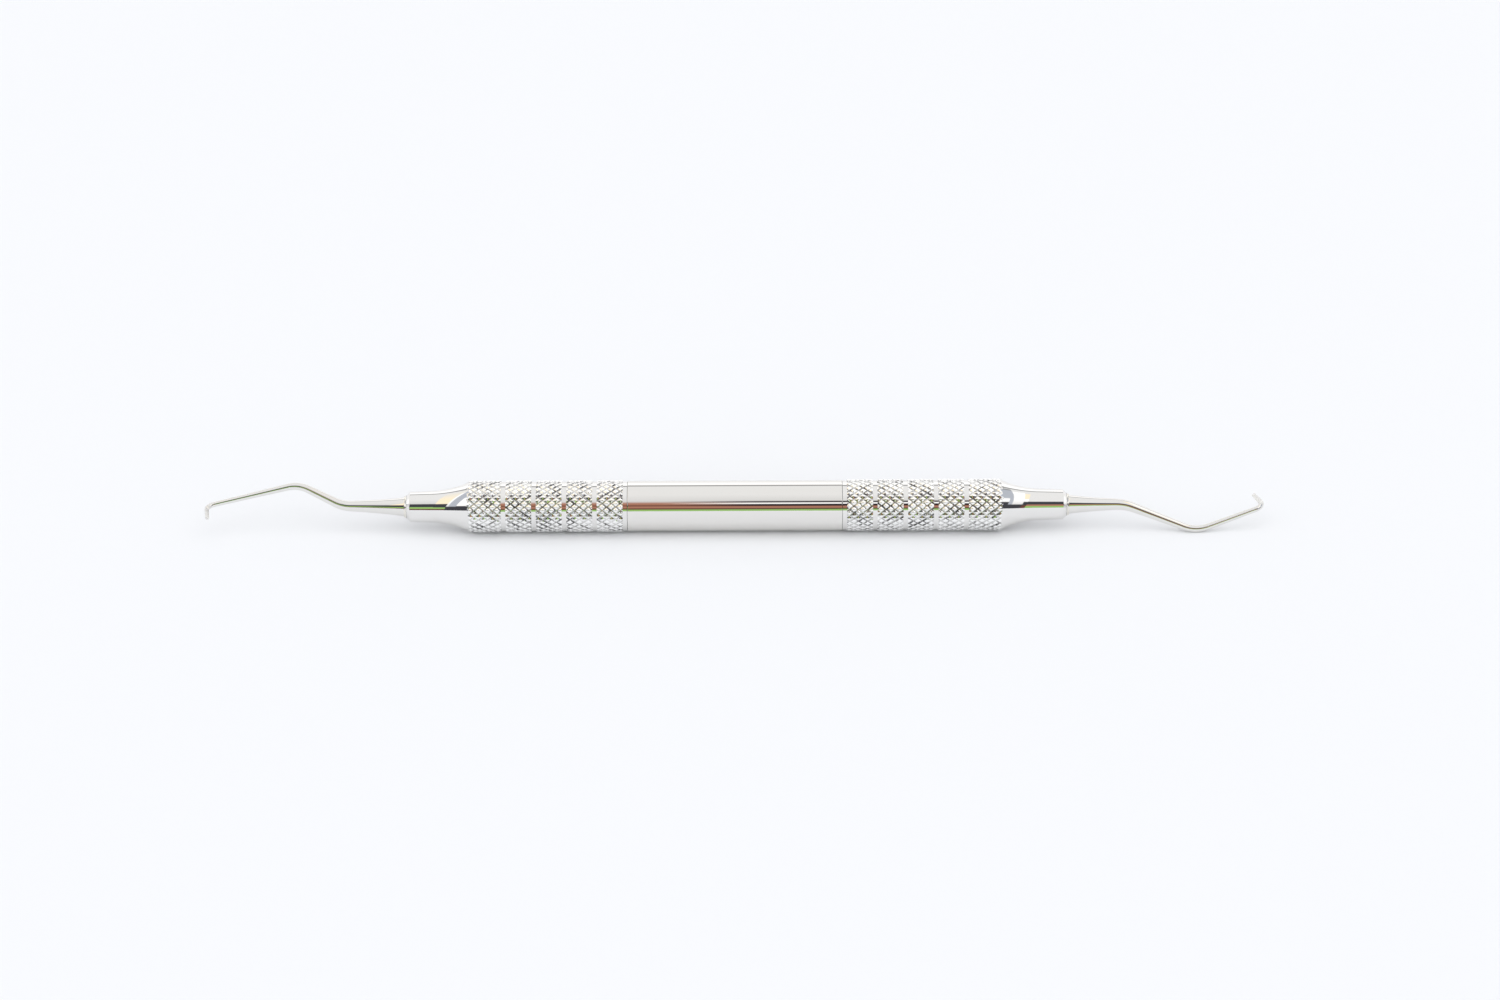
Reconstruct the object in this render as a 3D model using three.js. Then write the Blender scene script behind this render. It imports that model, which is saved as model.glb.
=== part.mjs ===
// Double-ended stainless dental hand instrument: a hollow round handle with two knurled grips, and a
// bent, tapered working end brazed into each nose. Millimetres. +X runs along the handle, +Z is up,
// and the origin is on the handle's axis, halfway between the two knurled grips. The handle lies on
// its side, with one facet of every round facing straight down.
import * as THREE from "three";

// Handle
const FACETS = 48; // sides of every round piece of the handle
const SLEEVE_RADIUS = 4.0;
const SLEEVE_HALF_LENGTH = 16.95;
const SLEEVE_BORE_RADIUS = 3.0;
const BAND_RADIUS = 4.135; // over the tips of the knurl
const GROOVE_RADIUS = 3.95;
const GROOVE_WIDTH = 0.72;
const BAND_WIDTH = 4.08;
const NARROW_BANDS = 4; // on each grip, inboard of the wide one
const WIDE_BAND_WIDTH = 4.85;

// Grip and nose
const FIT_GAP = 0.02; // between pieces that are pressed, brazed or butted together
const SPIGOT_LENGTH = 6.0;
const GRIP_BORE_RADIUS = 2.3;
const NOSE_RADIUS = 2.4; // at the small end, behind the chamfer
const NOSE_CONE_SLOPE = 0.03;
const NOSE_CURVE_RADIUS = 16.0; // of the hollow curve from the cone up to the shoulder
const NOSE_FACE_RADIUS = 1.85;
const NOSE_CHAMFER_LENGTH = 0.55;
const NOSE_CURVE_STEPS = 9; // straight stretches in that curve

// Working ends
const TANG_RADIUS = 1.0;
const TANG_LENGTH = 8.0;
const TANG_CHAMFER = 0.3;
const SOCKET_RADIUS = 1.06;
const SOCKET_DEPTH = 8.6;
const SHANK_BASE_RADIUS = 1.575;
const SHANK_FLARE_RADIUS = 0.89; // the part of the base radius that fades out over SHANK_FLARE_LENGTH
const SHANK_FLARE_LENGTH = 7.0;
const BLADE_RADIUS = 0.33;
const BLADE_LENGTH = 3.4; // from the end of the last bend to the blunt tip
const SHANK_SIDES = 12;
const SHANK_STEP = 0.8; // between the rings of a shank
const BRAZE_HEIGHT = 0.38;
const BRAZE_TOP_RADIUS = 1.68;

// The bends of each end lie in one plane through the handle's axis, leaning this far from upright.
const BEND_PLANE_LEAN = THREE.MathUtils.degToRad(25);

// Each end: reach is the distance from the middle of the handle, offset the height above the axis in
// the bend plane, radius the inside of the bend, and tip the blunt end of the blade.
const LEFT = {
  side: -1,
  noseEnd: 51.95,
  slimRadius: 0.35,
  bends: [
    { reach: 62.15, offset: 0.18, radius: 6.0 },
    { reach: 69.1, offset: 3.6, radius: 5.0 },
    { reach: 83.75, offset: 0.22, radius: 1.3 },
  ],
  tip: { reach: 83.1, y: -4.09, z: -0.05 },
};
const RIGHT = {
  side: 1,
  noseEnd: 52.45,
  slimRadius: 0.39,
  bends: [
    { reach: 61.75, offset: -0.02, radius: 8.0 },
    { reach: 72.95, offset: -4.32, radius: 5.5 },
    { reach: 83.85, offset: -0.42, radius: 1.3 },
  ],
  tip: { reach: 82.5, y: 3.9, z: -0.12 },
};

const steel = (color, roughness) =>
  new THREE.MeshStandardMaterial({ color, roughness, metalness: 1 });

function namedMesh(name, geometry, material) {
  const mesh = new THREE.Mesh(geometry, material);
  mesh.name = name;
  return mesh;
}

// A round piece from [x, radius] corners along +X, closing on themselves.
function turned(corners) {
  const loop = [...corners, corners[0]].reverse().map(([x, r]) => new THREE.Vector2(r, x));
  const firstCorner = Math.PI / FACETS; // leaves a facet, not an edge, at the very bottom
  return new THREE.LatheGeometry(loop, FACETS, firstCorner).rotateZ(-Math.PI / 2);
}

function centreSleeve() {
  const end = SLEEVE_HALF_LENGTH;
  const chamfer = 0.08;
  return turned([
    [-end, SLEEVE_BORE_RADIUS],
    [end, SLEEVE_BORE_RADIUS],
    [end, SLEEVE_RADIUS - chamfer],
    [end - chamfer, SLEEVE_RADIUS],
    [-end + chamfer, SLEEVE_RADIUS],
    [-end, SLEEVE_RADIUS - chamfer],
  ]);
}

// Outline of the knurled part, outwards from the seam with the sleeve: groove, band, groove, band...
function bandCorners(seam) {
  const corners = [[seam, GROOVE_RADIUS]];
  let x = seam + GROOVE_WIDTH;
  for (let i = 0; i < NARROW_BANDS; i++) {
    corners.push([x, GROOVE_RADIUS], [x, BAND_RADIUS]);
    x += BAND_WIDTH;
    corners.push([x, BAND_RADIUS], [x, GROOVE_RADIUS]);
    x += GROOVE_WIDTH;
  }
  corners.push([x, GROOVE_RADIUS], [x, BAND_RADIUS]);
  return { corners, shoulder: x + WIDE_BAND_WIDTH };
}

// Hollow curve from the shoulder down to the cone, which it meets without a corner.
function noseCorners(shoulder, noseEnd) {
  const coneFoot = noseEnd - NOSE_CHAMFER_LENGTH;
  const coneAngle = Math.atan(NOSE_CONE_SLOPE);
  const coneRadiusAt = (x) => NOSE_RADIUS + (coneFoot - x) * NOSE_CONE_SLOPE;
  // The curve starts at the shoulder, at the slope that brings it down onto the cone.
  const dropTo = (steep) => NOSE_CURVE_RADIUS * (Math.cos(coneAngle) - Math.cos(steep));
  const runTo = (steep) => NOSE_CURVE_RADIUS * (Math.sin(steep) - Math.sin(coneAngle));
  let low = coneAngle;
  let high = Math.PI / 2;
  for (let i = 0; i < 40; i++) {
    const steep = (low + high) / 2;
    const landsAbove = BAND_RADIUS - dropTo(steep) > coneRadiusAt(shoulder + runTo(steep));
    if (landsAbove) low = steep;
    else high = steep;
  }
  const corners = [];
  for (let i = 0; i <= NOSE_CURVE_STEPS; i++) {
    const angle = THREE.MathUtils.lerp(low, coneAngle, i / NOSE_CURVE_STEPS);
    corners.push([
      shoulder + runTo(low) - runTo(angle),
      BAND_RADIUS - dropTo(low) + dropTo(angle),
    ]);
  }
  corners.push([coneFoot, NOSE_RADIUS], [noseEnd, NOSE_FACE_RADIUS]);
  return corners;
}

function grip(noseEnd) {
  const seam = SLEEVE_HALF_LENGTH + FIT_GAP;
  const { corners, shoulder } = bandCorners(seam);
  const spigotRadius = SLEEVE_BORE_RADIUS - FIT_GAP;
  const spigotEnd = seam - SPIGOT_LENGTH;
  return turned([
    [spigotEnd, GRIP_BORE_RADIUS],
    [shoulder, GRIP_BORE_RADIUS],
    [noseEnd - SOCKET_DEPTH, SOCKET_RADIUS],
    [noseEnd, SOCKET_RADIUS],
    ...[...corners, ...noseCorners(shoulder, noseEnd)].reverse(),
    [seam, spigotRadius],
    [spigotEnd, spigotRadius],
  ]);
}

// Fillet of silver braze on the nose's face, around the foot of the shank.
function brazeRing(noseEnd) {
  const foot = noseEnd + FIT_GAP;
  const inner = SHANK_BASE_RADIUS + FIT_GAP;
  const middle = (NOSE_FACE_RADIUS + BRAZE_TOP_RADIUS) / 2;
  return turned([
    [foot, inner],
    [foot + BRAZE_HEIGHT, inner],
    [foot + BRAZE_HEIGHT, BRAZE_TOP_RADIUS],
    [foot + BRAZE_HEIGHT / 3, middle],
    [foot, NOSE_FACE_RADIUS],
  ]);
}

function bendCorner({ side }, { reach, offset }) {
  return new THREE.Vector3(
    side * reach,
    offset * Math.sin(BEND_PLANE_LEAN),
    offset * Math.cos(BEND_PLANE_LEAN),
  );
}

// Centre line of a working end, from the tang's buried end to the blade's tip: straight stretches
// joined by arcs, each drawn as one cubic curve.
function centreLine(end) {
  const tangEnd = new THREE.Vector3(end.side * (end.noseEnd - TANG_LENGTH), 0, 0);
  const base = new THREE.Vector3(end.side * end.noseEnd, 0, 0);
  const tip = new THREE.Vector3(end.side * end.tip.reach, end.tip.y, end.tip.z);
  const corners = end.bends.map((bend) => bendCorner(end, bend));
  const path = new THREE.CurvePath();
  path.add(new THREE.LineCurve3(tangEnd, base));
  let from = base;
  corners.forEach((corner, i) => {
    const next = corners[i + 1] ?? tip;
    const into = corner.clone().sub(from).normalize();
    const out = next.clone().sub(corner).normalize();
    const turn = into.angleTo(out);
    const { radius } = end.bends[i];
    const setback = radius * Math.tan(turn / 2);
    const pull = (4 / 3) * radius * Math.tan(turn / 4);
    const start = corner.clone().addScaledVector(into, -setback);
    const finish = corner.clone().addScaledVector(out, setback);
    path.add(new THREE.LineCurve3(from, start));
    path.add(
      new THREE.CubicBezierCurve3(
        start,
        start.clone().addScaledVector(into, pull),
        finish.clone().addScaledVector(out, -pull),
        finish,
      ),
    );
    from = finish;
  });
  path.add(new THREE.LineCurve3(from, tip));
  return path;
}

// [distance along the centre line, radius] of each ring of a working end.
function shankRings(end, length) {
  const rings = [
    [0, TANG_RADIUS - TANG_CHAMFER],
    [TANG_CHAMFER, TANG_RADIUS],
    [TANG_LENGTH + FIT_GAP, TANG_RADIUS],
  ];
  const bare = length - TANG_LENGTH;
  const steps = Math.round(bare / SHANK_STEP);
  const taper = SHANK_BASE_RADIUS - SHANK_FLARE_RADIUS - end.slimRadius;
  for (let i = 0; i <= steps; i++) {
    const s = (bare * i) / steps;
    const flare = SHANK_FLARE_RADIUS * Math.exp(-s / SHANK_FLARE_LENGTH);
    const body = end.slimRadius + taper * (1 - s / bare) + flare;
    const ground = Math.max(0, 1 - (bare - s) / BLADE_LENGTH); // 0 on the shank, 1 at the tip
    const radius = THREE.MathUtils.lerp(body, Math.min(body, BLADE_RADIUS), ground);
    rings.push([TANG_LENGTH + (i === 0 ? FIT_GAP : s), radius]);
  }
  return rings;
}

// A working end: a cylinder of unit size whose rings are laid along the centre line.
function workingEnd(end) {
  const path = centreLine(end);
  const length = path.getLength();
  const rings = shankRings(end, length);
  const last = rings.length - 1;
  const geometry = new THREE.CylinderGeometry(1, 1, 1, SHANK_SIDES, last);
  const position = geometry.attributes.position;
  const frames = path.computeFrenetFrames(Math.round(length / SHANK_STEP) * 4);
  const vertex = new THREE.Vector3();
  for (let i = 0; i < position.count; i++) {
    vertex.fromBufferAttribute(position, i);
    const [s, radius] = rings[Math.round((vertex.y + 0.5) * last)];
    const nearest = Math.round((s / length) * (frames.normals.length - 1));
    const point = path
      .getPointAt(s / length)
      .addScaledVector(frames.normals[nearest], vertex.x * radius)
      .addScaledVector(frames.binormals[nearest], -vertex.z * radius);
    position.setXYZ(i, point.x, point.y, point.z);
  }
  return geometry;
}

function instrument() {
  const group = new THREE.Group();
  group.add(namedMesh("centre_sleeve", centreSleeve(), steel(0xd9dadb, 0.12)));
  for (const [name, end] of Object.entries({ left: LEFT, right: RIGHT })) {
    const handleEnd = new THREE.Group();
    handleEnd.rotation.z = end.side < 0 ? Math.PI : 0;
    handleEnd.add(namedMesh(`${name}_grip`, grip(end.noseEnd), steel(0xcfd0d1, 0.22)));
    handleEnd.add(
      namedMesh(`${name}_braze_ring`, brazeRing(end.noseEnd), steel(0xc9c3b4, 0.3)),
    );
    group.add(handleEnd);
    group.add(namedMesh(`${name}_working_end`, workingEnd(end), steel(0xd4d5d7, 0.15)));
  }
  return group;
}

export default instrument();
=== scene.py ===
"""Double-ended stainless dental instrument: the looks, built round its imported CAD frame."""

import math

import bpy
import numpy as np
from mathutils import Matrix, Vector


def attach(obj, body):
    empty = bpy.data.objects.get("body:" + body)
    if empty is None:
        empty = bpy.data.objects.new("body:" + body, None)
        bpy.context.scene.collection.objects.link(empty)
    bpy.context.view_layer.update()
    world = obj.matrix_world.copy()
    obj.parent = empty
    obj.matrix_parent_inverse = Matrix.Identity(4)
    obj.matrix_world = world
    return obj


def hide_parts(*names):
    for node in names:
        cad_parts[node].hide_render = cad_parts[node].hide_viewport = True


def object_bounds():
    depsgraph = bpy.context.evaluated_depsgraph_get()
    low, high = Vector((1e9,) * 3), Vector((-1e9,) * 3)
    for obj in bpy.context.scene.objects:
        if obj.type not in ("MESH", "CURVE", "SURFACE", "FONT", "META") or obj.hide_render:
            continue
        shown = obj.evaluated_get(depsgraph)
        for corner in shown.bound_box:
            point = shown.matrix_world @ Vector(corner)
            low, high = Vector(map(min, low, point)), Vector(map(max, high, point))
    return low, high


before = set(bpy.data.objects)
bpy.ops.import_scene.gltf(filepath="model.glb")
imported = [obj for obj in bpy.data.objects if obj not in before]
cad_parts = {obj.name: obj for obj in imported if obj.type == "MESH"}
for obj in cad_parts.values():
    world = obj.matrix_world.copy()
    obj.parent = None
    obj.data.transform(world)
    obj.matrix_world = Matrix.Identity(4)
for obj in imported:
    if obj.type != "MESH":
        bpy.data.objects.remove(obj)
CAD_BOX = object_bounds()

MM = 0.001
SEED = 7

# Handle, in millimetres. X is measured from the middle of the handle along its axis.
SLEEVE_RADIUS = 4.0
SLEEVE_HALF_LENGTH = 16.95
SLEEVE_BORE_RADIUS = 3.0
SLEEVE_EDGE_CHAMFER = 0.07
FIT_GAP = 0.02
BAND_RADIUS = 4.135
GROOVE_RADIUS = 3.93
GROOVE_WIDTH = 0.72
BAND_WIDTH = 4.08
NARROW_BANDS = 4
WIDE_BAND_WIDTH = 4.85
BAND_EDGE_CHAMFER = 0.1
SPIGOT_LENGTH = 6.0
GRIP_BORE_RADIUS = 2.3

# Knurl: diamonds with worn, rounded tops between two crossing sets of V grooves
DIAMONDS_ROUND = 24
DIAMOND_PITCH = 1.44  # along the handle
CELLS = 14  # mesh rows for each pitch
SEGMENTS = DIAMONDS_ROUND * CELLS  # round the handle
KNURL_DEPTH = 0.19
FLANK_STRAIGHTNESS = 0.95  # towards 1 for straight flanks between sharp crests and grooves
DIAMOND_HEIGHT_SPREAD = 0.004
DIAMOND_TILT_SPREAD = 0.03
GROOVE_DEPTH_SPREAD = 0.08
SPREAD_LIMIT = 1.6  # standard deviations
SPREAD_ROWS = 64  # rows of diamonds before the uneven heights repeat
BANDS_END = SLEEVE_HALF_LENGTH + FIT_GAP + GROOVE_WIDTH + WIDE_BAND_WIDTH
BANDS_END += NARROW_BANDS * (BAND_WIDTH + GROOVE_WIDTH)
FINISH_FADE = (BANDS_END + 0.06, BANDS_END + 0.56)  # from the bands' finish to the nose's
ABOVE_GROOVES = (GROOVE_RADIUS + 0.002, GROOVE_RADIUS + 0.006)
GROOVE_SHADE_RADII = (4.0, 3.96)  # where the painted shade in the knurl starts and where it is full
GROOVE_SHADE_CLIMB = 0.035  # how much higher the painted shade reaches on the flanks that face inboard

# Noses
NOSE_RADIUS = 2.4
NOSE_CONE_SLOPE = 0.03
NOSE_CURVE_RADIUS = 16.0
NOSE_FACE_RADIUS = 1.85
NOSE_CHAMFER_LENGTH = 0.55
NOSE_EDGE_ROUNDING = 0.09
SOCKET_RADIUS = 1.06
SOCKET_DEPTH = 8.6

# Working ends
BRAZE_HEIGHT = 0.38
BRAZE_TOP_RADIUS = 1.68
TANG_RADIUS = 1.0
TANG_LENGTH = 8.0
SHANK_BASE_RADIUS = 1.575
SHANK_FLARE_RADIUS = 0.89
SHANK_FLARE_LENGTH = 7.0
BLADE_RADIUS = 0.33
BLADE_LENGTH = 3.4
BLADE_FACE_LENGTH = 4.3  # the ground face runs a little way back into the last bend
BLADE_FACE_FADE = 1.2
BLADE_FACE_HEIGHT = 0.2  # of the flat face above the blade's centre line, as a share of its radius
SHANK_SIDES = 40
BRAZE_SIDES = 96
TOE_RINGS = (0.75, 0.5, 0.3, 0.15, 0.05)  # extra rings, as shares of the toe's length from the tip
BEND_PLANE_LEAN = math.radians(25)

LEFT = {
    "side": -1,
    "nose_end": 51.95,
    "slim_radius": 0.35,
    "bends": [(62.15, 0.18, 6.0), (69.1, 3.6, 5.0), (83.75, 0.22, 1.3)],  # reach, offset, radius
    "tip": (83.1, -4.09, -0.05),
    "toe": 0.3,
}
RIGHT = {
    "side": 1,
    "nose_end": 52.45,
    "slim_radius": 0.39,
    "bends": [(61.75, -0.02, 8.0), (72.95, -4.32, 5.5), (83.85, -0.42, 1.3)],
    "tip": (82.5, 3.9, -0.12),
    "toe": 0.07,
}

# Studio
CAMERA_ELEVATION = math.radians(24.5)
CAMERA_DISTANCE = 0.66
CAMERA_LENS = 100.0
CAMERA_ROLL = 0.00395
AIM_ALONG = 2.39  # of the middle of the picture, from the middle of the handle
AIM_ABOVE = 0.87
FLOOR_HALF_SIZE = 8.0
KEY_ELEVATION = math.radians(70)
KEY_DISTANCE = 6.0
KEY_SIZE = (9.0, 8.0)
KEY_POWER = 30.0
FILL_LEVEL = 1.08
FILL_FRONT_SHARE = 0.8  # how much more of the soft light comes from the front than from above
FLOOR_COLOUR = (0.872, 0.88, 0.896, 1.0)
STEEL_SHARE = 0.8  # of the light that the steel gives back
PALE = (0.94, 0.947, 0.965, 1.0)
RAMP_SCALE = 2.0  # the brightest thing the surroundings hold

# The room that the polished steel mirrors, as a few plain things in round display colours.
WHITE_PANEL = (260, 260, 260)
CEILING = (230, 230, 230)
LOW_CEILING = (215, 215, 215)
BACK_WALL = (235, 235, 235)
PANEL_EDGE = (130, 130, 130)
COOL_WALL = (180, 185, 195)
CREAM_WALL = (255, 240, 210)
SHADE = (65, 65, 70)
NEAR_BLACK = (45, 35, 40)
WOOD = (170, 120, 100)
DARK_WOOD = (105, 70, 60)
GREENERY = (150, 190, 110)

# Each stretch of the room, from the front horizon (0 degrees) over the top (90) to the back (180).
OVER = [
    (75, CEILING), (124, CEILING), (127, PANEL_EDGE), (130, PANEL_EDGE),
    (135, WHITE_PANEL), (150, WHITE_PANEL), (160, BACK_WALL),
]
FRONT_LEFT = [
    (0, GREENERY), (6, GREENERY), (9, DARK_WOOD), (12, DARK_WOOD), (15, WOOD), (20, WOOD),
    (25, DARK_WOOD), (30, WOOD), (35, WOOD), (45, LOW_CEILING),
]
FRONT_RIGHT = [
    (0, GREENERY), (6, GREENERY), (9, NEAR_BLACK), (15, WOOD), (20, WOOD), (24, NEAR_BLACK),
    (30, NEAR_BLACK), (33, WHITE_PANEL), (36, WHITE_PANEL), (39, NEAR_BLACK),
    (42, NEAR_BLACK), (47, LOW_CEILING),
]
CORNER_LEFT = [
    (8, DARK_WOOD), (10, GREENERY), (20, GREENERY), (23, SHADE), (42, SHADE), (46, LOW_CEILING),
]
CREAM_LEFT = [
    (8, DARK_WOOD), (10, GREENERY), (18, GREENERY), (21, SHADE), (42, SHADE),
    (45, CREAM_WALL), (74, CREAM_WALL),
]
CORNER_RIGHT = [
    (12, GREENERY), (14, WOOD), (22, WOOD), (25, SHADE), (42, SHADE), (46, CEILING),
]
CREAM_RIGHT = [
    (18, DARK_WOOD), (21, SHADE), (40, SHADE), (46, WHITE_PANEL), (60, WHITE_PANEL),
    (64, CREAM_WALL), (96, CREAM_WALL), (104, CEILING),
]
GAPS = [(22, SHADE), (28, COOL_WALL), (112, COOL_WALL), (118, PANEL_EDGE)]
PANELS = [(22, SHADE), (28, CEILING), (54, WHITE_PANEL), (104, WHITE_PANEL), (112, CEILING)]
SIDE_LEFT = [
    (26, SHADE), (31, WHITE_PANEL), (76, WHITE_PANEL), (84, COOL_WALL), (112, COOL_WALL),
    (118, PANEL_EDGE),
]
SIDE_RIGHT = [
    (38, SHADE), (44, WHITE_PANEL), (60, WHITE_PANEL), (66, COOL_WALL), (112, COOL_WALL),
    (118, PANEL_EDGE),
]

# Where one stretch gives way to the next, by how far the direction points along +X. A leaning edge
# moves outwards with height.
EDGE_LEAN = 0.3
UPRIGHT, LEANING = "upright", "leaning"
ROOM = [
    (UPRIGHT, -0.02, 0.0, FRONT_RIGHT),
    (UPRIGHT, -0.095, -0.10, CORNER_LEFT),
    (LEANING, -0.26, -0.27, CREAM_LEFT),
    (LEANING, -0.49, -0.50, PANELS),
    (LEANING, -0.53, -0.54, GAPS),
    (LEANING, -0.66, -0.67, SIDE_LEFT),
    (UPRIGHT, 0.095, 0.10, CORNER_RIGHT),
    (LEANING, 0.36, 0.37, CREAM_RIGHT),
    (LEANING, 0.44, 0.45, PANELS),
    (LEANING, 0.62, 0.63, GAPS),
    (LEANING, 0.68, 0.69, SIDE_RIGHT),
]


# ---------------------------------------------------------------- mesh helpers


def piece(name, vertices, faces, node, materials, sharp_degrees=25.0):
    """A shaded mesh piece in metres that stands for one CAD node and rides with it."""
    mesh = bpy.data.meshes.new(name)
    mesh.from_pydata((np.asarray(vertices) * MM).tolist(), [], faces)
    mesh.validate()
    for material in materials:
        mesh.materials.append(material)
    mesh.polygons.foreach_set("use_smooth", [True] * len(mesh.polygons))
    mesh.set_sharp_from_angle(angle=math.radians(sharp_degrees))
    obj = bpy.data.objects.new(name, mesh)
    bpy.context.scene.collection.objects.link(obj)
    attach(obj, "root")
    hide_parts(node)
    return obj


def softened(corners, radius, steps=4):
    """The (x, r) outline with each inner corner turned into a small arc. An extra point on either side
    keeps the shading of the long faces true."""
    points = [np.array(c, float) for c in corners]
    out = [points[0]]
    for before, corner, after in zip(points, points[1:], points[2:]):
        into = (corner - before) / np.linalg.norm(corner - before)
        away = (after - corner) / np.linalg.norm(after - corner)
        turn = math.acos(np.clip(into @ away, -1, 1))
        setback = radius * math.tan(turn / 2)
        start, end = corner - into * setback, corner + away * setback
        out.append(corner - into * 2 * setback)
        for i in range(steps + 1):
            t = i / steps
            out.append((1 - t) ** 2 * start + 2 * t * (1 - t) * corner + t * t * end)
        out.append(corner + away * 2 * setback)
    out.append(points[-1])
    return [tuple(p) for p in out]


def turned_faces(rows, segments):
    """Faces between rings laid one after another and closed into a loop. A ring that lies on a row of
    the knurl's lattice gives its number, and cells between two such rings are cut along the creases."""
    faces = []
    count = len(rows)
    for k in range(count):
        lattice_row, next_row = rows[k][2], rows[(k + 1) % count][2]
        a, b = k * segments, ((k + 1) % count) * segments
        on_lattice = lattice_row is not None and next_row == lattice_row + 1
        for i in range(segments):
            j = (i + 1) % segments
            if not on_lattice:
                faces.append((a + i, a + j, b + j, b + i))
            elif (lattice_row + i) % 2:
                faces += [(a + i, a + j, b + i), (a + j, b + j, b + i)]
            else:
                faces += [(a + i, a + j, b + j), (a + i, b + j, b + i)]
    return faces


def turned(rows, segments, side=1):
    """Vertices and faces of a round body along X, from rings (x, radius or radii, lattice row)."""
    theta = np.arange(segments) * 2 * math.pi / segments
    rings = []
    for x, radius, _ in rows:
        r = np.broadcast_to(radius, segments)
        ring_x = np.full(segments, side * x)
        rings.append(np.stack([ring_x, side * r * np.cos(theta), r * np.sin(theta)], 1))
    return np.concatenate(rings), turned_faces(rows, segments)


# ------------------------------------------------------------------- materials


def node_tree(material):
    material.use_nodes = True
    tree = material.node_tree
    return tree, tree.nodes["Principled BSDF"]


def linked(tree, kind, inputs=None, **settings):
    """A node with its settings, and with inputs given as numbers or as other nodes' sockets."""
    node = tree.nodes.new(kind)
    for key, value in settings.items():
        setattr(node, key, value)
    for key, value in (inputs or {}).items():
        if isinstance(value, bpy.types.NodeSocket):
            tree.links.new(value, node.inputs[key])
        else:
            node.inputs[key].default_value = value
    return node


def noise(tree, scale_xyz, scale=1.0, detail=3.0, roughness=0.55):
    """Noise over object coordinates in metres, stretched by a scale along each axis."""
    coordinates = linked(tree, "ShaderNodeTexCoord").outputs["Object"]
    mapping = linked(tree, "ShaderNodeMapping", {"Vector": coordinates, "Scale": scale_xyz})
    texture = linked(
        tree,
        "ShaderNodeTexNoise",
        {"Vector": mapping.outputs[0], "Scale": scale, "Detail": detail, "Roughness": roughness},
    )
    return texture.outputs["Fac"]


def remap(tree, value, low, high, to_low, to_high):
    node = linked(
        tree,
        "ShaderNodeMapRange",
        {"Value": value, "From Min": low, "From Max": high, "To Min": to_low, "To Max": to_high},
        clamp=True,
    )
    return node.outputs[0]


def mixed_colour(tree, share, low, high):
    node = linked(tree, "ShaderNodeMix", {"Factor": share}, data_type="RGBA")
    for socket, colour in ((node.inputs[6], low), (node.inputs[7], high)):
        if isinstance(colour, bpy.types.NodeSocket):
            tree.links.new(colour, socket)
        else:
            socket.default_value = (*colour, 1.0)
    return node.outputs[2]


def math_node(tree, operation, a, b=0.0):
    return linked(tree, "ShaderNodeMath", {0: a, 1: b}, operation=operation).outputs[0]


def bumps(tree, layers):
    """A chain of bump nodes from (height, distance in metres) layers."""
    normal = None
    for height, distance in layers:
        inputs = {"Height": height, "Distance": distance, "Strength": 1.0}
        if normal is not None:
            inputs["Normal"] = normal
        normal = linked(tree, "ShaderNodeBump", inputs).outputs[0]
    return normal


def polished_steel():
    """Mirror finish with a faint orange peel, fine turning lines and a few wiping marks."""
    material = bpy.data.materials.new("polished_steel")
    tree, shader = node_tree(material)
    shader.inputs["Metallic"].default_value = 1.0
    peel = noise(tree, (300, 300, 300), 1.0, 2.0)
    lines = noise(tree, (9000, 200, 200), 1.0, 2.0)
    wiping = noise(tree, (60, 900, 900), 1.0, 4.0)
    colour = mixed_colour(tree, wiping, (0.795, 0.78, 0.757), (0.825, 0.812, 0.79))
    tree.links.new(colour, shader.inputs["Base Color"])
    tree.links.new(remap(tree, wiping, 0.3, 0.75, 0.015, 0.05), shader.inputs["Roughness"])
    normal = bumps(tree, [(peel, 0.0000012), (lines, 0.00000012)])
    tree.links.new(normal, shader.inputs["Normal"])
    return material


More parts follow.
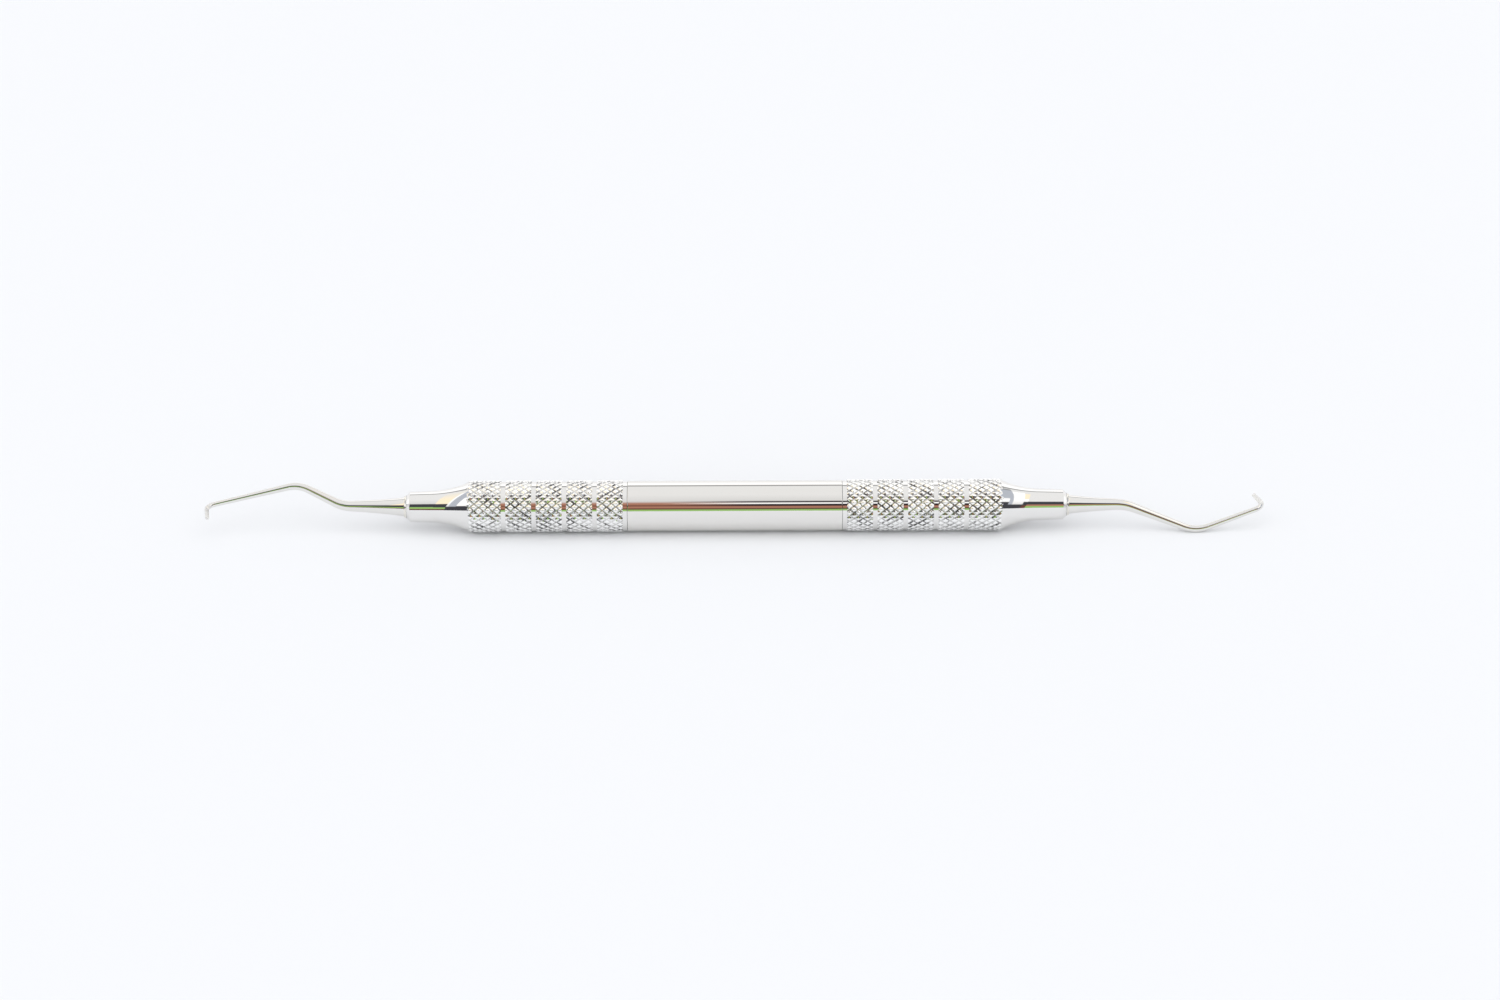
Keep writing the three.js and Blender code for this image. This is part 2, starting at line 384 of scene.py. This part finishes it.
def knurled_steel():
    """Bright diamonds and nose, with painted shade and duller metal down in the grooves of the knurl.
    The flanks that face the middle of the handle get the darkest painted shade and the most roughness."""
    material = bpy.data.materials.new("knurled_steel")
    tree, shader = node_tree(material)
    shader.inputs["Metallic"].default_value = 1.0
    coordinates = linked(tree, "ShaderNodeTexCoord").outputs
    parts = linked(tree, "ShaderNodeSeparateXYZ", {"Vector": coordinates["Object"]}).outputs
    facing = linked(tree, "ShaderNodeSeparateXYZ", {"Vector": coordinates["Normal"]}).outputs
    across = linked(tree, "ShaderNodeCombineXYZ", {"Y": parts["Y"], "Z": parts["Z"]})
    radius = linked(
        tree, "ShaderNodeVectorMath", {0: across.outputs[0]}, operation="LENGTH"
    ).outputs["Value"]
    reach = math_node(tree, "ABSOLUTE", parts["X"])
    on_bands = remap(tree, reach, FINISH_FADE[0] * MM, FINISH_FADE[1] * MM, 1.0, 0.0)
    above_floor = remap(tree, radius, ABOVE_GROOVES[0] * MM, ABOVE_GROOVES[1] * MM, 0.0, 1.0)
    on_knurl = math_node(tree, "MULTIPLY", on_bands, above_floor)
    side = math_node(tree, "SIGN", parts["X"])
    inboard = math_node(tree, "MULTIPLY", math_node(tree, "MULTIPLY", side, -1.0), facing["X"])
    # Painted shade: the knurl's grooves are darkened in the base colour, reaching higher on the flanks
    # that face inboard.
    shade_climb = remap(tree, inboard, 0.05, 0.25, 0.0, GROOVE_SHADE_CLIMB * MM)
    level = math_node(tree, "SUBTRACT", radius, shade_climb)
    low_in_knurl = remap(tree, level, GROOVE_SHADE_RADII[0] * MM, GROOVE_SHADE_RADII[1] * MM, 0.0, 1.0)
    groove_shade = math_node(tree, "MULTIPLY", low_in_knurl, remap(tree, inboard, -0.2, 0.15, 0.6, 1.0))
    groove_shade = math_node(tree, "MULTIPLY", groove_shade, on_knurl)
    grain = noise(tree, (6000, 6000, 6000), 1.0, 3.0)
    peel = noise(tree, (450, 450, 450), 1.0, 2.0)
    patches = noise(tree, (700, 700, 700), 1.0, 3.0, 0.65)
    smooth = mixed_colour(tree, grain, (0.81, 0.80, 0.785), (0.85, 0.842, 0.83))
    bright = mixed_colour(tree, on_knurl, smooth, (0.985, 0.982, 0.975))
    patches = remap(tree, patches, 0.41, 0.53, 0.0, 1.0)
    # Painted shade colour for the grooves: near-black in random patches, mid grey elsewhere.
    shade_colour = mixed_colour(tree, patches, (0.03, 0.028, 0.028), (0.64, 0.635, 0.625))
    tree.links.new(mixed_colour(tree, groove_shade, bright, shade_colour), shader.inputs["Base Color"])
    worn = remap(tree, grain, 0.35, 0.7, 0.02, 0.06)
    rough = remap(tree, groove_shade, 0.0, 1.0, 0.0, 0.18)
    tree.links.new(math_node(tree, "ADD", worn, rough), shader.inputs["Roughness"])
    normal = bumps(tree, [(peel, 0.0000012), (grain, 0.0000005)])
    tree.links.new(normal, shader.inputs["Normal"])
    return material


def shank_steel():
    """Hand-polished steel: a little less flat than the handle, with fine lines along the shank."""
    material = bpy.data.materials.new("shank_steel")
    tree, shader = node_tree(material)
    shader.inputs["Metallic"].default_value = 1.0
    peel = noise(tree, (500, 900, 900), 1.0, 2.0)
    lines = noise(tree, (300, 14000, 14000), 1.0, 2.0)
    colour = mixed_colour(tree, lines, (0.79, 0.777, 0.755), (0.82, 0.81, 0.79))
    tree.links.new(colour, shader.inputs["Base Color"])
    tree.links.new(remap(tree, lines, 0.3, 0.7, 0.02, 0.06), shader.inputs["Roughness"])
    normal = bumps(tree, [(peel, 0.000002), (lines, 0.0000001)])
    tree.links.new(normal, shader.inputs["Normal"])
    return material


def ground_steel():
    """The blade's face, ground across its length on a fine wheel."""
    material = bpy.data.materials.new("ground_steel")
    tree, shader = node_tree(material)
    shader.inputs["Metallic"].default_value = 1.0
    lines = noise(tree, (1500, 26000, 1500), 1.0, 2.0)
    colour = mixed_colour(tree, lines, (0.70, 0.695, 0.68), (0.80, 0.795, 0.78))
    tree.links.new(colour, shader.inputs["Base Color"])
    tree.links.new(remap(tree, lines, 0.3, 0.7, 0.2, 0.34), shader.inputs["Roughness"])
    tree.links.new(bumps(tree, [(lines, 0.0000006)]), shader.inputs["Normal"])
    return material


def silver_braze():
    """Buffed braze: warmer than the steel, slightly uneven."""
    material = bpy.data.materials.new("silver_braze")
    tree, shader = node_tree(material)
    shader.inputs["Metallic"].default_value = 1.0
    lumps = noise(tree, (2500, 2500, 2500), 1.0, 3.0)
    colour = mixed_colour(tree, lumps, (0.80, 0.77, 0.70), (0.86, 0.84, 0.79))
    tree.links.new(colour, shader.inputs["Base Color"])
    tree.links.new(remap(tree, lumps, 0.3, 0.7, 0.14, 0.26), shader.inputs["Roughness"])
    tree.links.new(bumps(tree, [(lumps, 0.000004)]), shader.inputs["Normal"])
    return material


# ---------------------------------------------------------------------- handle


CHANCE = np.random.default_rng(SEED)
DIAMOND_SPREAD = CHANCE.normal(size=(3, SPREAD_ROWS, 2 * DIAMONDS_ROUND))
DIAMOND_SPREAD = DIAMOND_SPREAD.clip(-SPREAD_LIMIT, SPREAD_LIMIT)
GROOVE_SPREAD = CHANCE.normal(size=(2, DIAMONDS_ROUND)).clip(-SPREAD_LIMIT, SPREAD_LIMIT)


def across_grooves(position, spread):
    """How low the surface lies at a position across one set of grooves, in groove spacings: 0 on a
    diamond's crest and 1 in the groove, both rounded, with straight flanks between them."""
    wave = np.arcsin(FLANK_STRAIGHTNESS * np.cos(2 * math.pi * position))
    low = 0.5 - wave / (2 * math.asin(FLANK_STRAIGHTNESS))
    line = np.floor(position).astype(int) % DIAMONDS_ROUND
    return low * (1 + GROOVE_DEPTH_SPREAD * spread[line])


def knurl_radius(x, theta):
    """Radius of the knurled surface at x along the grip and at the angles theta round it."""
    along = x / DIAMOND_PITCH
    around = theta * DIAMONDS_ROUND / (2 * math.pi)
    p, q = along + around, along - around
    low = np.maximum(across_grooves(p, GROOVE_SPREAD[0]), across_grooves(q, GROOVE_SPREAD[1]))
    row, column = np.round(p) + np.round(q), np.round(p) - np.round(q)
    diamond = row.astype(int) % SPREAD_ROWS, column.astype(int) % (2 * DIAMONDS_ROUND)
    height, tilt_along, tilt_around = DIAMOND_SPREAD[:, diamond[0], diamond[1]]
    off_along = (along - row / 2) * DIAMOND_PITCH
    off_around = (around - column / 2) * DIAMOND_PITCH
    uneven = DIAMOND_HEIGHT_SPREAD * (height - SPREAD_LIMIT)
    uneven = uneven + DIAMOND_TILT_SPREAD * (tilt_along * off_along + tilt_around * off_around)
    worn = np.clip(1 - low, 0, 1)
    return np.minimum(BAND_RADIUS - KNURL_DEPTH * low + uneven * worn, BAND_RADIUS)


def nose_outline(shoulder, nose_end):
    """(x, r) from the shoulder along the hollow curve and the cone to the nose's face."""
    cone_foot = nose_end - NOSE_CHAMFER_LENGTH
    flat = math.atan(NOSE_CONE_SLOPE)
    low, high = flat, math.pi / 2
    for _ in range(40):
        steep = (low + high) / 2
        run = NOSE_CURVE_RADIUS * (math.sin(steep) - math.sin(flat))
        drop = NOSE_CURVE_RADIUS * (math.cos(flat) - math.cos(steep))
        cone_radius = NOSE_RADIUS + (cone_foot - shoulder - run) * NOSE_CONE_SLOPE
        if BAND_RADIUS - drop > cone_radius:
            low = steep
        else:
            high = steep
    run = NOSE_CURVE_RADIUS * math.sin(low)
    drop = NOSE_CURVE_RADIUS * math.cos(low)
    curve = [
        (
            shoulder + run - NOSE_CURVE_RADIUS * math.sin(angle),
            BAND_RADIUS + drop - NOSE_CURVE_RADIUS * math.cos(angle),
        )
        for angle in np.linspace(low, flat, 36)
    ]
    face = (nose_end, NOSE_FACE_RADIUS - 0.25)
    tail = [curve[-1], (cone_foot, NOSE_RADIUS), (nose_end, NOSE_FACE_RADIUS), face]
    return curve[:-1] + softened(tail, NOSE_EDGE_ROUNDING)


def band_rows(start, end, theta):
    """Rings of one knurled band, with a small chamfer at each end."""
    rows = []
    step = DIAMOND_PITCH / CELLS
    chamfered = BAND_RADIUS - BAND_EDGE_CHAMFER
    for x in (start, start + BAND_EDGE_CHAMFER):
        rows.append((x, knurl_radius(x, theta), None))
    first = math.ceil((start + 2 * BAND_EDGE_CHAMFER) / step)
    last = math.floor((end - 2 * BAND_EDGE_CHAMFER) / step)
    for k in range(first, last + 1):
        rows.append((k * step, knurl_radius(k * step, theta), k))
    for x in (end - BAND_EDGE_CHAMFER, end):
        rows.append((x, knurl_radius(x, theta), None))
    for i in (0, -1):
        x, radius, _ = rows[i]
        rows[i] = (x, np.minimum(radius, chamfered), None)
    return rows


def shoulder_rows(start, nose, theta):
    """Rings of the wide band and of the knurl's toothed run-out on the nose."""
    nose_x, nose_r = np.array(nose).T
    step = DIAMOND_PITCH / CELLS
    run_out = np.interp(-(BAND_RADIUS - KNURL_DEPTH), -nose_r, nose_x) + step
    rows = band_rows(start, run_out + step, theta)[:-2]
    trimmed = [
        (x, np.minimum(radius, np.interp(x, nose_x, nose_r, left=99.0)), k)
        for x, radius, k in rows
    ]
    smooth = [(x, r, None) for x, r in nose if x > trimmed[-1][0] + step / 4]
    return trimmed + smooth


def build_grip(name, end, steel):
    theta = np.arange(SEGMENTS) * 2 * math.pi / SEGMENTS
    seam = SLEEVE_HALF_LENGTH + FIT_GAP
    spigot_radius = SLEEVE_BORE_RADIUS - FIT_GAP
    rows = [
        (end["nose_end"], SOCKET_RADIUS, None),
        (end["nose_end"] - SOCKET_DEPTH, SOCKET_RADIUS, None),
        (seam + GROOVE_WIDTH, GRIP_BORE_RADIUS, None),
        (seam - SPIGOT_LENGTH, GRIP_BORE_RADIUS, None),
        (seam - SPIGOT_LENGTH, spigot_radius, None),
        (seam, spigot_radius, None),
        (seam, GROOVE_RADIUS - 0.05, None),
        (seam + 0.03, GROOVE_RADIUS, None),
    ]
    x = seam + GROOVE_WIDTH
    for _ in range(NARROW_BANDS):
        rows.append((x, GROOVE_RADIUS, None))
        rows += band_rows(x, x + BAND_WIDTH, theta)
        x += BAND_WIDTH
        rows.append((x, GROOVE_RADIUS, None))
        x += GROOVE_WIDTH
    rows.append((x, GROOVE_RADIUS, None))
    nose = nose_outline(x + WIDE_BAND_WIDTH, end["nose_end"])
    rows += shoulder_rows(x, nose, theta)
    vertices, faces = turned(rows, SEGMENTS, end["side"])
    return piece(f"{name}_grip_body", vertices, faces, f"{name}_grip", [steel], 45)


def build_sleeve(steel):
    end, chamfer = SLEEVE_HALF_LENGTH, SLEEVE_EDGE_CHAMFER
    outline = [(-end, SLEEVE_RADIUS - 0.4), (-end, SLEEVE_RADIUS)]
    outline += [(end, SLEEVE_RADIUS), (end, SLEEVE_RADIUS - 0.4)]
    rows = [(x, r, None) for x, r in softened(outline, chamfer)]
    rows += [(end, SLEEVE_BORE_RADIUS, None), (-end, SLEEVE_BORE_RADIUS, None)]
    vertices, faces = turned(rows, SEGMENTS)
    return piece("sleeve_body", vertices, faces, "centre_sleeve", [steel])


def build_braze(name, end, braze):
    """A hollow fillet between the nose's face and the foot of the shank."""
    foot = end["nose_end"] + FIT_GAP
    inner = SHANK_BASE_RADIUS + FIT_GAP
    theta = np.arange(BRAZE_SIDES) * 2 * math.pi / BRAZE_SIDES
    uneven = 0.5 + 0.2 * np.sin(2 * theta + end["side"]) + 0.15 * np.sin(5 * theta)
    rows = [(foot, inner, None)]
    for t in np.linspace(0, 1, 9):
        hollow = (1 - t) ** 1.8
        radius = BRAZE_TOP_RADIUS + (NOSE_FACE_RADIUS - BRAZE_TOP_RADIUS) * hollow
        rows.append((foot + BRAZE_HEIGHT * t, radius - 0.02 * uneven * t, None))
    rows.append((foot + BRAZE_HEIGHT, inner, None))
    vertices, faces = turned(rows, BRAZE_SIDES, end["side"])
    return piece(
        f"{name}_braze_fillet", vertices, faces, f"{name}_braze_ring", [braze], 40
    )


# ---------------------------------------------------------------- working ends


def bent_path(points, radii, step=0.3, degrees=3.0):
    """Points and directions along straight stretches joined by arcs."""
    places, directions = [points[0]], [(points[1] - points[0]).normalized()]
    start = points[0]

    def straight_to(target):
        along = target - start
        if along.length > 1e-6:
            for i in range(1, max(1, round(along.length / step)) + 1):
                places.append(start + along * i / max(1, round(along.length / step)))
                directions.append(along.normalized())

    for corner, after, radius in zip(points[1:], points[2:], radii):
        into = (corner - start).normalized()
        away = (after - corner).normalized()
        turn = into.angle(away)
        if turn < 1e-6:
            straight_to(corner)
            start = corner
            continue
        setback = radius * math.tan(turn / 2)
        straight_to(corner - into * setback)
        inward = (away - into * math.cos(turn)).normalized()
        origin = corner - into * setback
        count = max(2, round(math.degrees(turn) / degrees))
        for i in range(1, count + 1):
            a = turn * i / count
            places.append(origin + (into * math.sin(a) + inward * (1 - math.cos(a))) * radius)
            directions.append(into * math.cos(a) + inward * math.sin(a))
        start = corner + away * setback
    straight_to(points[-1])
    return places, directions


def smoothstep(t):
    t = min(max(t, 0.0), 1.0)
    return t * t * (3 - 2 * t)


def section(end, s, bare):
    """Radius, and height of the flat face as a share of it, s millimetres out from the nose."""
    if s < 0:
        return TANG_RADIUS, 1.0
    taper = SHANK_BASE_RADIUS - SHANK_FLARE_RADIUS - end["slim_radius"]
    body = end["slim_radius"] + taper * (1 - s / bare)
    body += SHANK_FLARE_RADIUS * math.exp(-s / SHANK_FLARE_LENGTH)
    left = bare - s
    blade = max(0.0, 1 - left / BLADE_LENGTH)
    radius = body + (min(body, BLADE_RADIUS) - body) * blade
    flat = smoothstep((BLADE_FACE_LENGTH - left) / BLADE_FACE_FADE)
    if left < end["toe"]:
        radius *= max(0.05, math.sqrt(1 - (1 - left / end["toe"]) ** 2))
    return radius, 1 + (BLADE_FACE_HEIGHT - 1) * flat


def path_of(end):
    side = end["side"]
    lean = Vector((0, math.sin(BEND_PLANE_LEAN), math.cos(BEND_PLANE_LEAN)))
    corners = [Vector((side * reach, 0, 0)) + lean * off for reach, off, _ in end["bends"]]
    tang = Vector((side * (end["nose_end"] - TANG_LENGTH), 0, 0))
    base = Vector((side * end["nose_end"], 0, 0))
    reach, y, z = end["tip"]
    points = [tang, base, *corners, Vector((side * reach, y, z))]
    return bent_path(points, [0.0] + [radius for _, _, radius in end["bends"]])


def build_working_end(name, end, steel, ground):
    places, directions = path_of(end)
    lengths = [0.0]
    for a, b in zip(places, places[1:]):
        lengths.append(lengths[-1] + (b - a).length)
    bare = lengths[-1] - TANG_LENGTH
    tip, ahead = places[-1], directions[-1]
    for share in TOE_RINGS:
        at = len(places) - 1
        places.insert(at, tip - ahead * end["toe"] * share)
        directions.insert(at, ahead)
        lengths.insert(at, lengths[-1] - end["toe"] * share)
    face_up = Vector((-0.5 * end["side"], 0, 0.87))
    vertices, faces, slots = [], [], []
    angles = [2 * math.pi * i / SHANK_SIDES for i in range(SHANK_SIDES)]
    for place, along, s in zip(places, directions, lengths):
        radius, height = section(end, s - TANG_LENGTH, bare)
        up = (face_up - along * face_up.dot(along)).normalized()
        out = along.cross(up)
        for a in angles:
            lift = min(math.cos(a), height)
            vertices.append(place + (up * lift + out * math.sin(a)) * radius)
    rings = len(places)
    for k in range(rings - 1):
        ground_ring = bare - (lengths[k] - TANG_LENGTH) < BLADE_FACE_LENGTH - 0.3
        for i in range(SHANK_SIDES):
            j = (i + 1) % SHANK_SIDES
            a, b = k * SHANK_SIDES, (k + 1) * SHANK_SIDES
            faces.append((a + i, a + j, b + j, b + i))
            on_face = math.cos(angles[i] + math.pi / SHANK_SIDES) > BLADE_FACE_HEIGHT
            slots.append(1 if ground_ring and on_face else 0)
    faces.append(tuple(reversed(range(SHANK_SIDES))))
    faces.append(tuple((rings - 1) * SHANK_SIDES + i for i in range(SHANK_SIDES)))
    slots += [0, 1]
    made = piece(
        f"{name}_working_end_body",
        [tuple(v) for v in vertices],
        faces,
        f"{name}_working_end",
        [steel, ground],
        35.0,
    )
    made.data.polygons.foreach_set("material_index", slots)
    return made


# ---------------------------------------------------------------------- studio


def linear(level):
    """Scene-linear value of an 8-bit display level."""
    c = level / 255
    return c / 12.92 if c <= 0.04045 else ((c + 0.055) / 1.055) ** 2.4


def surroundings_ramp(tree, turn, stops):
    """Colours of the room by turn, from stops of (degrees up and over, display colour)."""
    node = linked(tree, "ShaderNodeValToRGB", {"Fac": turn})
    elements = node.color_ramp.elements
    elements.remove(elements[0])
    for i, (degrees, colour) in enumerate(stops):
        element = elements[0] if i == 0 else elements.new(degrees / 180)
        element.position = degrees / 180
        element.color = (*(linear(c) / STEEL_SHARE / RAMP_SCALE for c in colour), 1.0)
    return node.outputs["Color"]


def build_world():
    """The room that mirror rays see, the dome that lights diffuse surfaces and a pale backdrop."""
    world = bpy.data.worlds.new("studio")
    bpy.context.scene.world = world
    world.use_nodes = True
    tree = world.node_tree
    tree.nodes.clear()
    direction = linked(tree, "ShaderNodeTexCoord").outputs["Generated"]
    parts = linked(tree, "ShaderNodeSeparateXYZ", {"Vector": direction}).outputs
    towards_front = math_node(tree, "MULTIPLY", parts["Y"], -1.0)
    turn = math_node(tree, "ARCTAN2", parts["Z"], towards_front)
    turn = math_node(tree, "DIVIDE", turn, math.pi)

    def ramp(low):
        stops = low + [stop for stop in OVER if stop[0] > low[-1][0] + 2]
        return surroundings_ramp(tree, turn, stops)

    x = parts["X"]
    lean = math_node(tree, "MULTIPLY", math_node(tree, "SUBTRACT", turn, 0.25), EDGE_LEAN)
    places = {UPRIGHT: x, LEANING: math_node(tree, "ADD", x, lean)}
    colour = ramp(FRONT_LEFT)
    for edge, start, end, low in ROOM:
        share = remap(tree, places[edge], start, end, 0, 1)
        colour = mixed_colour(tree, share, colour, ramp(low))
    seen = linked(tree, "ShaderNodeLightPath").outputs
    shown = linked(tree, "ShaderNodeBackground", {"Color": colour, "Strength": RAMP_SCALE})
    front_bias = math_node(tree, "MULTIPLY", towards_front, FILL_LEVEL * FILL_FRONT_SHARE)
    level = math_node(tree, "ADD", front_bias, FILL_LEVEL)
    fill = linked(tree, "ShaderNodeBackground", {"Color": PALE, "Strength": level})
    backdrop = linked(tree, "ShaderNodeBackground", {"Color": PALE, "Strength": 1.0})
    lit = linked(
        tree,
        "ShaderNodeMixShader",
        {"Fac": seen["Is Diffuse Ray"], 1: shown.outputs[0], 2: fill.outputs[0]},
    )
    whole = linked(
        tree,
        "ShaderNodeMixShader",
        {"Fac": seen["Is Camera Ray"], 1: lit.outputs[0], 2: backdrop.outputs[0]},
    )
    linked(tree, "ShaderNodeOutputWorld", {"Surface": whole.outputs[0]})


def build_floor(height):
    mesh = bpy.data.meshes.new("floor")
    s = FLOOR_HALF_SIZE
    mesh.from_pydata([(-s, -s, 0), (s, -s, 0), (s, s, 0), (-s, s, 0)], [], [(0, 1, 2, 3)])
    floor = bpy.data.objects.new("floor", mesh)
    floor.location.z = height
    bpy.context.scene.collection.objects.link(floor)
    material = bpy.data.materials.new("pale_floor")
    _, shader = node_tree(material)
    shader.inputs["Base Color"].default_value = FLOOR_COLOUR
    shader.inputs["Roughness"].default_value = 0.9
    shader.inputs["Specular IOR Level"].default_value = 0.0
    mesh.materials.append(material)


def build_key_light():
    """A wide softbox above and in front. Mirror rays pass it, as the room already holds its panel."""
    data = bpy.data.lights.new("key", "AREA")
    data.shape = "RECTANGLE"
    data.size, data.size_y = KEY_SIZE
    data.energy = KEY_POWER
    light = bpy.data.objects.new("key", data)
    towards = Vector((0, -math.cos(KEY_ELEVATION), math.sin(KEY_ELEVATION)))
    light.location = towards * KEY_DISTANCE
    light.rotation_euler = towards.to_track_quat("Z", "Y").to_euler()
    light.visible_glossy = False
    bpy.context.scene.collection.objects.link(light)


def build_camera():
    back = Vector((0, -math.cos(CAMERA_ELEVATION), math.sin(CAMERA_ELEVATION)))
    up = Vector((0, math.sin(CAMERA_ELEVATION), math.cos(CAMERA_ELEVATION)))
    right = Vector((1, 0, 0))
    aim = right * AIM_ALONG * MM + up * AIM_ABOVE * MM
    rolled_right = right * math.cos(CAMERA_ROLL) - up * math.sin(CAMERA_ROLL)
    rolled_up = up * math.cos(CAMERA_ROLL) + right * math.sin(CAMERA_ROLL)
    data = bpy.data.cameras.new("camera")
    data.lens = CAMERA_LENS
    data.sensor_width = 36.0
    data.clip_start = 0.01
    data.clip_end = 20.0
    camera = bpy.data.objects.new("camera", data)
    turn = Matrix((rolled_right, rolled_up, back)).transposed().to_4x4()
    camera.matrix_world = Matrix.Translation(aim + back * CAMERA_DISTANCE) @ turn
    bpy.context.scene.collection.objects.link(camera)
    bpy.context.scene.camera = camera


def build():
    polished, knurled, braze = polished_steel(), knurled_steel(), silver_braze()
    shank, ground = shank_steel(), ground_steel()
    build_sleeve(polished)
    for name, end in (("left", LEFT), ("right", RIGHT)):
        build_grip(name, end, knurled)
        build_braze(name, end, braze)
        build_working_end(name, end, shank, ground)
    build_world()
    build_key_light()
    build_floor(CAD_BOX[0].z)
    build_camera()
    scene = bpy.context.scene
    scene.view_settings.view_transform = "Standard"
    scene.view_settings.look = "None"


build()
